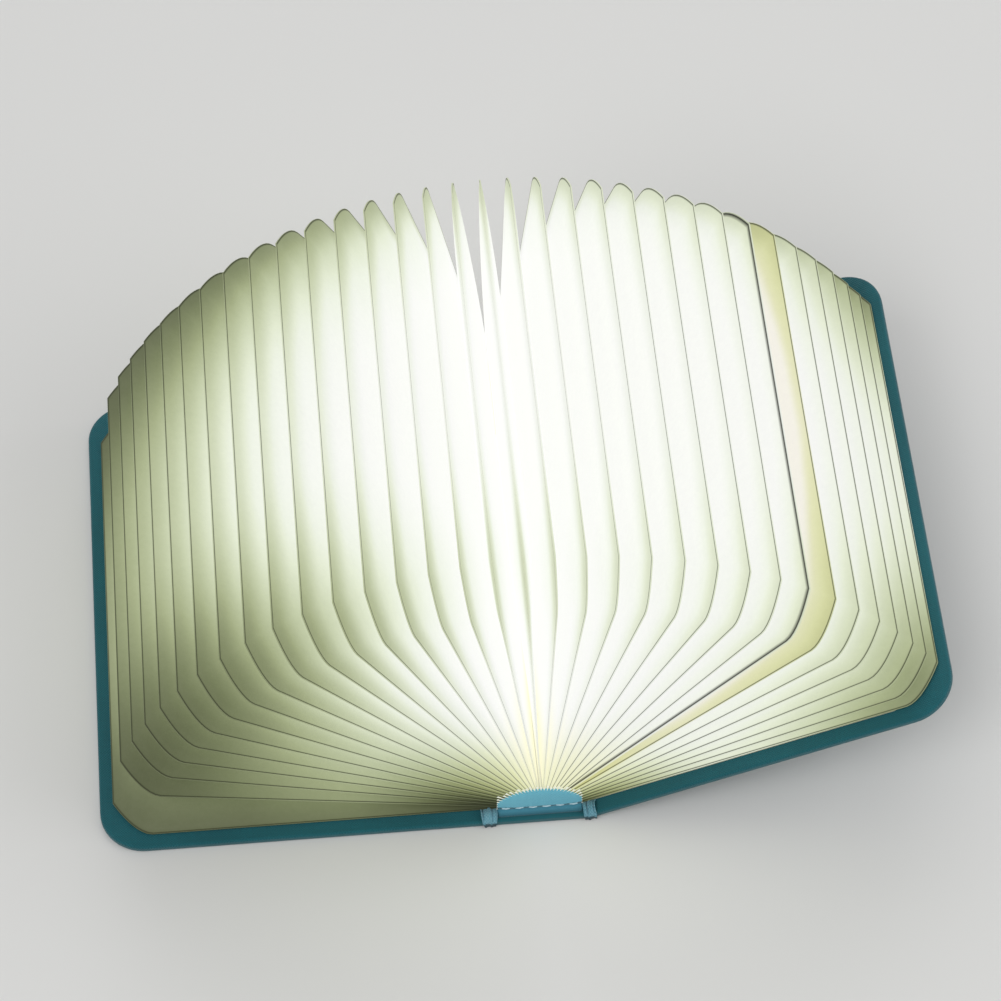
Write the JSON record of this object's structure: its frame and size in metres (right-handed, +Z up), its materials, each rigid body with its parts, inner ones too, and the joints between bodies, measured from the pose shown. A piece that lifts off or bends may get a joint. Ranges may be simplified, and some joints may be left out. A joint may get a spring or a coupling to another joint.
{
  "type": "folding book lamp",
  "caption": "Battery lamp shaped like a book: two hinged cloth covers open and a bellows of paper leaves fans out over a light bar in the spine.",
  "frame": {"origin": "middle of the spine's underside, on the surface that the lamp lies on", "axes": "+X across the lamp from the left cover to the right cover, +Y along the spine from its tail to its head end, where the charging socket is, +Z up, away from the surface"},
  "size_m": [0.1873, 0.122, 0.087],
  "materials": {
    "cover_cloth": "matte",
    "tab_cloth": "matte",
    "grey_board": "matte",
    "paper": "matte",
    "tray_plastic": "matte",
    "diffuser": "satin",
    "led_board": "satin",
    "led_chips": "gloss",
    "charge_board": "satin",
    "battery": "satin",
    "lead_wire": "satin",
    "steel": "satin",
    "magnet": "polished",
    "indicator": "gloss",
    "black_plastic": "matte"
  },
  "bodies": {
    "spine": {"spine_board": "grey_board", "spine_cloth": "cover_cloth", "spine_tab_tail": "tab_cloth", "spine_tab_head": "tab_cloth", "left_joint_cloth": "cover_cloth", "right_joint_cloth": "cover_cloth", "light_tray": "tray_plastic", "led_board": "led_board", "led_chips": "led_chips", "led_board_screws": "steel", "diffuser": "diffuser", "battery": "battery", "battery_leads": "lead_wire", "led_leads": "lead_wire", "charge_board": "charge_board", "charge_socket": "steel", "charge_indicator": "indicator", "switch_sensor": "black_plastic"},
    "left_cover": {"left_cover_board": "grey_board", "left_cover_cloth": "cover_cloth", "left_endpaper": "paper", "left_magnets": "magnet"},
    "right_cover": {"right_cover_board": "grey_board", "right_cover_cloth": "cover_cloth", "right_endpaper": "paper", "right_magnets": "magnet"},
    "leaf_00": {"leaf_00": "paper"},
    "leaf_01": {"leaf_01": "paper"},
    "leaf_02": {"leaf_02": "paper"},
    "leaf_03": {"leaf_03": "paper"},
    "leaf_04": {"leaf_04": "paper"},
    "leaf_05": {"leaf_05": "paper"},
    "leaf_06": {"leaf_06": "paper"},
    "leaf_07": {"leaf_07": "paper"},
    "leaf_08": {"leaf_08": "paper"},
    "leaf_09": {"leaf_09": "paper"},
    "leaf_10": {"leaf_10": "paper"},
    "leaf_11": {"leaf_11": "paper"},
    "leaf_12": {"leaf_12": "paper"},
    "leaf_13": {"leaf_13": "paper"},
    "leaf_14": {"leaf_14": "paper"},
    "leaf_15": {"leaf_15": "paper"},
    "leaf_16": {"leaf_16": "paper"},
    "leaf_17": {"leaf_17": "paper"},
    "leaf_18": {"leaf_18": "paper"},
    "leaf_19": {"leaf_19": "paper"},
    "leaf_20": {"leaf_20": "paper"},
    "leaf_21": {"leaf_21": "paper"},
    "leaf_22": {"leaf_22": "paper"},
    "leaf_23": {"leaf_23": "paper"},
    "leaf_24": {"leaf_24": "paper"},
    "leaf_25": {"leaf_25": "paper"},
    "leaf_26": {"leaf_26": "paper"},
    "leaf_27": {"leaf_27": "paper"},
    "leaf_28": {"leaf_28": "paper"},
    "leaf_29": {"leaf_29": "paper"},
    "leaf_30": {"leaf_30": "paper"},
    "leaf_31": {"leaf_31": "paper"},
    "leaf_32": {"leaf_32": "paper"},
    "leaf_33": {"leaf_33": "paper"}
  },
  "joints": [
    {"name": "left_hinge", "type": "hinge", "parent": "spine", "child": "left_cover", "pos_m": [-0.011, 0, 0.00103], "axis": [0, 1, 0], "range_deg": [0, 90]},
    {"name": "right_hinge", "type": "hinge", "parent": "spine", "child": "right_cover", "pos_m": [0.011, 0, 0.00103], "axis": [0, -1, 0], "range_deg": [-23.5, 66.5]},
    {"name": "leaf_00_root", "type": "hinge", "parent": "spine", "child": "leaf_00", "pos_m": [-0.00953, 0, 0.0025], "axis": [0, 1, 0], "range_deg": [0, 90.01]},
    {"name": "leaf_01_root", "type": "hinge", "parent": "spine", "child": "leaf_01", "pos_m": [-0.00895, 0, 0.00321], "axis": [0, 1, 0], "range_deg": [0, 78.47]},
    {"name": "leaf_02_root", "type": "hinge", "parent": "spine", "child": "leaf_02", "pos_m": [-0.00837, 0, 0.00387], "axis": [0, 1, 0], "range_deg": [0, 73.19]},
    {"name": "leaf_03_root", "type": "hinge", "parent": "spine", "child": "leaf_03", "pos_m": [-0.00779, 0, 0.00448], "axis": [0, 1, 0], "range_deg": [0, 68.73]},
    {"name": "leaf_04_root", "type": "hinge", "parent": "spine", "child": "leaf_04", "pos_m": [-0.00722, 0, 0.00506], "axis": [0, 1, 0], "range_deg": [0, 64.28]},
    {"name": "leaf_05_root", "type": "hinge", "parent": "spine", "child": "leaf_05", "pos_m": [-0.00664, 0, 0.00559], "axis": [0, 1, 0], "range_deg": [0, 59.72]},
    {"name": "leaf_06_root", "type": "hinge", "parent": "spine", "child": "leaf_06", "pos_m": [-0.00606, 0, 0.00607], "axis": [0, 1, 0], "range_deg": [0, 55.01]},
    {"name": "leaf_07_root", "type": "hinge", "parent": "spine", "child": "leaf_07", "pos_m": [-0.00548, 0, 0.00651], "axis": [0, 1, 0], "range_deg": [0, 50.15]},
    {"name": "leaf_08_root", "type": "hinge", "parent": "spine", "child": "leaf_08", "pos_m": [-0.00491, 0, 0.00691], "axis": [0, 1, 0], "range_deg": [0, 45.18]},
    {"name": "leaf_09_root", "type": "hinge", "parent": "spine", "child": "leaf_09", "pos_m": [-0.00433, 0, 0.00726], "axis": [0, 1, 0], "range_deg": [0, 40.15]},
    {"name": "leaf_10_root", "type": "hinge", "parent": "spine", "child": "leaf_10", "pos_m": [-0.00375, 0, 0.00757], "axis": [0, 1, 0], "range_deg": [0, 35.12]},
    {"name": "leaf_11_root", "type": "hinge", "parent": "spine", "child": "leaf_11", "pos_m": [-0.00317, 0, 0.00783], "axis": [0, 1, 0], "range_deg": [0, 30.15]},
    {"name": "leaf_12_root", "type": "hinge", "parent": "spine", "child": "leaf_12", "pos_m": [-0.0026, 0, 0.00805], "axis": [0, 1, 0], "range_deg": [0, 25.29]},
    {"name": "leaf_13_root", "type": "hinge", "parent": "spine", "child": "leaf_13", "pos_m": [-0.00202, 0, 0.00823], "axis": [0, 1, 0], "range_deg": [0, 20.57]},
    {"name": "leaf_14_root", "type": "hinge", "parent": "spine", "child": "leaf_14", "pos_m": [-0.00144, 0, 0.00836], "axis": [0, 1, 0], "range_deg": [0, 16]},
    {"name": "leaf_15_root", "type": "hinge", "parent": "spine", "child": "leaf_15", "pos_m": [-0.00087, 0, 0.00845], "axis": [0, 1, 0], "range_deg": [0, 11.56]},
    {"name": "leaf_16_root", "type": "hinge", "parent": "spine", "child": "leaf_16", "pos_m": [-0.00029, 0, 0.00849], "axis": [0, 1, 0], "range_deg": [0, 7.23]},
    {"name": "leaf_17_root", "type": "hinge", "parent": "spine", "child": "leaf_17", "pos_m": [0.00029, 0, 0.00849], "axis": [0, 1, 0], "range_deg": [0, 2.94]},
    {"name": "leaf_18_root", "type": "hinge", "parent": "spine", "child": "leaf_18", "pos_m": [0.00087, 0, 0.00845], "axis": [0, -1, 0], "range_deg": [-0.5, 1.39]},
    {"name": "leaf_19_root", "type": "hinge", "parent": "spine", "child": "leaf_19", "pos_m": [0.00144, 0, 0.00836], "axis": [0, -1, 0], "range_deg": [-2.05, 5.78]},
    {"name": "leaf_20_root", "type": "hinge", "parent": "spine", "child": "leaf_20", "pos_m": [0.00202, 0, 0.00823], "axis": [0, -1, 0], "range_deg": [-3.64, 10.28]},
    {"name": "leaf_21_root", "type": "hinge", "parent": "spine", "child": "leaf_21", "pos_m": [0.0026, 0, 0.00805], "axis": [0, -1, 0], "range_deg": [-5.28, 14.94]},
    {"name": "leaf_22_root", "type": "hinge", "parent": "spine", "child": "leaf_22", "pos_m": [0.00317, 0, 0.00783], "axis": [0, -1, 0], "range_deg": [-6.98, 19.73]},
    {"name": "leaf_23_root", "type": "hinge", "parent": "spine", "child": "leaf_23", "pos_m": [0.00375, 0, 0.00757], "axis": [0, -1, 0], "range_deg": [-8.72, 24.65]},
    {"name": "leaf_24_root", "type": "hinge", "parent": "spine", "child": "leaf_24", "pos_m": [0.00433, 0, 0.00726], "axis": [0, -1, 0], "range_deg": [-10.48, 29.63]},
    {"name": "leaf_25_root", "type": "hinge", "parent": "spine", "child": "leaf_25", "pos_m": [0.00491, 0, 0.00691], "axis": [0, -1, 0], "range_deg": [-12.24, 34.62]},
    {"name": "leaf_26_root", "type": "hinge", "parent": "spine", "child": "leaf_26", "pos_m": [0.00548, 0, 0.00651], "axis": [0, -1, 0], "range_deg": [-13.98, 39.54]},
    {"name": "leaf_27_root", "type": "hinge", "parent": "spine", "child": "leaf_27", "pos_m": [0.00606, 0, 0.00607], "axis": [0, -1, 0], "range_deg": [-15.67, 44.33]},
    {"name": "leaf_28_root", "type": "hinge", "parent": "spine", "child": "leaf_28", "pos_m": [0.00664, 0, 0.00559], "axis": [0, -1, 0], "range_deg": [-17.29, 48.92]},
    {"name": "leaf_29_root", "type": "hinge", "parent": "spine", "child": "leaf_29", "pos_m": [0.00722, 0, 0.00506], "axis": [0, -1, 0], "range_deg": [-18.82, 53.24]},
    {"name": "leaf_30_root", "type": "hinge", "parent": "spine", "child": "leaf_30", "pos_m": [0.00779, 0, 0.00448], "axis": [0, -1, 0], "range_deg": [-20.24, 57.25]},
    {"name": "leaf_31_root", "type": "hinge", "parent": "spine", "child": "leaf_31", "pos_m": [0.00837, 0, 0.00387], "axis": [0, -1, 0], "range_deg": [-21.52, 60.88]},
    {"name": "leaf_32_root", "type": "hinge", "parent": "spine", "child": "leaf_32", "pos_m": [0.00895, 0, 0.00321], "axis": [0, -1, 0], "range_deg": [-22.63, 64.03]},
    {"name": "leaf_33_root", "type": "hinge", "parent": "spine", "child": "leaf_33", "pos_m": [0.00953, 0, 0.0025], "axis": [0, -1, 0], "range_deg": [-23.51, 66.51]}
  ],
  "couplings": [
    {"joint": "leaf_00_root", "follows": "left_hinge", "ratio": 1},
    {"joint": "leaf_01_root", "follows": "left_hinge", "ratio": 0.87172},
    {"joint": "leaf_02_root", "follows": "left_hinge", "ratio": 0.81315},
    {"joint": "leaf_03_root", "follows": "left_hinge", "ratio": 0.76354},
    {"joint": "leaf_04_root", "follows": "left_hinge", "ratio": 0.71415},
    {"joint": "leaf_05_root", "follows": "left_hinge", "ratio": 0.66344},
    {"joint": "leaf_06_root", "follows": "left_hinge", "ratio": 0.61107},
    {"joint": "leaf_07_root", "follows": "left_hinge", "ratio": 0.55712},
    {"joint": "leaf_08_root", "follows": "left_hinge", "ratio": 0.50192},
    {"joint": "leaf_09_root", "follows": "left_hinge", "ratio": 0.44603},
    {"joint": "leaf_10_root", "follows": "left_hinge", "ratio": 0.39013},
    {"joint": "leaf_11_root", "follows": "left_hinge", "ratio": 0.33488},
    {"joint": "leaf_12_root", "follows": "left_hinge", "ratio": 0.28085},
    {"joint": "leaf_13_root", "follows": "left_hinge", "ratio": 0.22841},
    {"joint": "leaf_14_root", "follows": "left_hinge", "ratio": 0.17765},
    {"joint": "leaf_15_root", "follows": "left_hinge", "ratio": 0.12839},
    {"joint": "leaf_16_root", "follows": "left_hinge", "ratio": 0.080225},
    {"joint": "leaf_17_root", "follows": "left_hinge", "ratio": 0.032538},
    {"joint": "leaf_18_root", "follows": "right_hinge", "ratio": 0.020773},
    {"joint": "leaf_19_root", "follows": "right_hinge", "ratio": 0.086722},
    {"joint": "leaf_20_root", "follows": "right_hinge", "ratio": 0.15449},
    {"joint": "leaf_21_root", "follows": "right_hinge", "ratio": 0.22444},
    {"joint": "leaf_22_root", "follows": "right_hinge", "ratio": 0.29656},
    {"joint": "leaf_23_root", "follows": "right_hinge", "ratio": 0.37047},
    {"joint": "leaf_24_root", "follows": "right_hinge", "ratio": 0.44542},
    {"joint": "leaf_25_root", "follows": "right_hinge", "ratio": 0.52045},
    {"joint": "leaf_26_root", "follows": "right_hinge", "ratio": 0.5945},
    {"joint": "leaf_27_root", "follows": "right_hinge", "ratio": 0.66648},
    {"joint": "leaf_28_root", "follows": "right_hinge", "ratio": 0.73542},
    {"joint": "leaf_29_root", "follows": "right_hinge", "ratio": 0.80047},
    {"joint": "leaf_30_root", "follows": "right_hinge", "ratio": 0.8608},
    {"joint": "leaf_31_root", "follows": "right_hinge", "ratio": 0.91541},
    {"joint": "leaf_32_root", "follows": "right_hinge", "ratio": 0.96272},
    {"joint": "leaf_33_root", "follows": "right_hinge", "ratio": 1}
  ]
}
